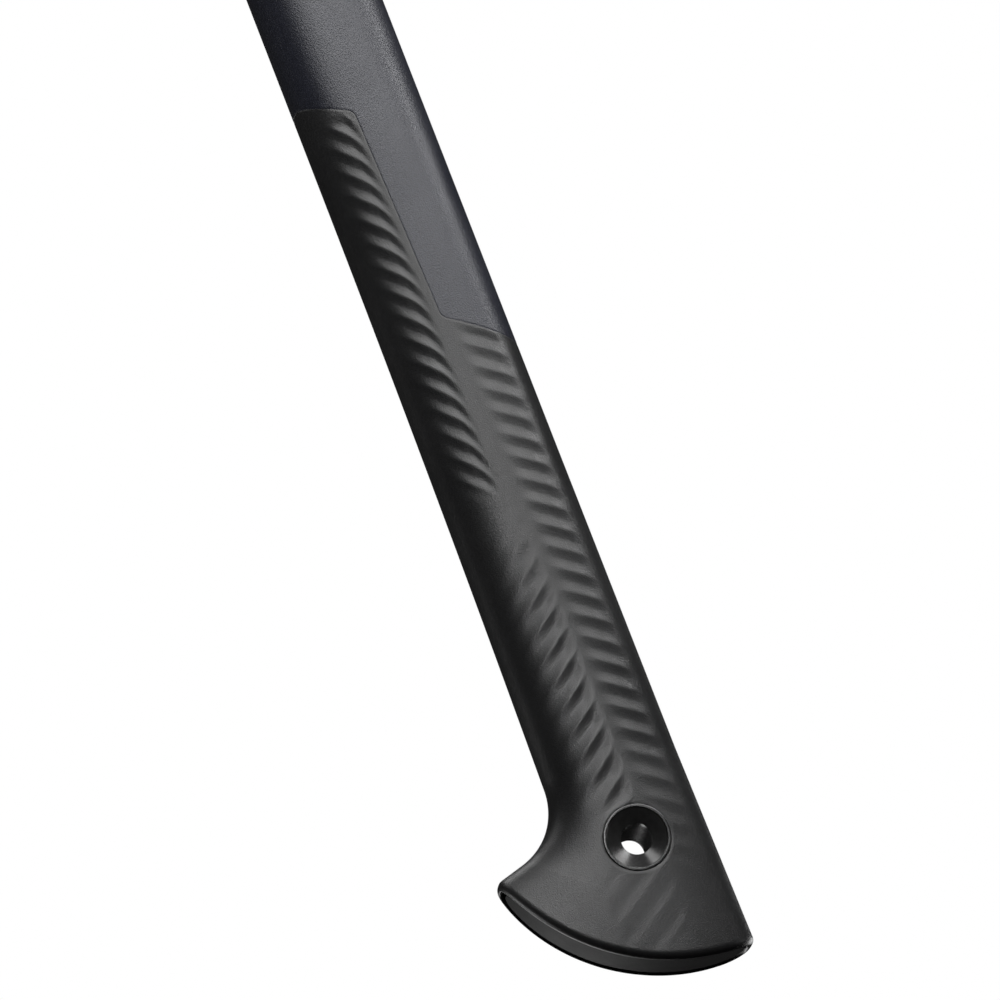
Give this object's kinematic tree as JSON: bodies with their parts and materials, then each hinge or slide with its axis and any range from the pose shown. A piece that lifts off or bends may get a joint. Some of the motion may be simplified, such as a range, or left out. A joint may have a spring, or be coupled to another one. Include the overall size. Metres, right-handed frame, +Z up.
{
  "type": "splitting maul",
  "caption": "Splitting maul with a forged wedge-and-poll head on a black composite handle with a ribbed soft grip, hooked butt and lanyard eyelet.",
  "frame": {"origin": "centre of the eye on the head's flat underside, where the maul hangs on a rack", "axes": "+Z up the handle and out through the head's top, +X toward the cutting edge, +Y toward the left cheek seen from the poll"},
  "size_m": [0.187, 0.065, 0.9128],
  "materials": {
    "head_coat": "satin baked coat over forged steel, ground bright along the edge",
    "jacket_nylon": "fine-grained satin glass-filled nylon",
    "grip_rubber": "soft matte overmould with moulded ribs",
    "guard_rubber": "matte elastomer",
    "seal_rubber": "matte elastomer",
    "cap_plastic": "fine matte black",
    "eyelet_plastic": "semi-gloss moulded black",
    "epoxy": "cast amber resin",
    "core_fibreglass": "pultruded glass fibre in resin"
  },
  "bodies": {
    "root": {"maul_head": "head_coat", "eye_cap": "cap_plastic", "eye_epoxy": "epoxy", "eye_seal": "seal_rubber", "isolation_sleeve": "seal_rubber", "handle_core": "core_fibreglass", "core_plug": "seal_rubber", "handle_shell": "jacket_nylon", "overstrike_guard": "guard_rubber", "grip_overmould": "grip_rubber", "butt_cap": "cap_plastic", "eyelet_front": "eyelet_plastic", "eyelet_back": "eyelet_plastic"}
  },
  "joints": []
}
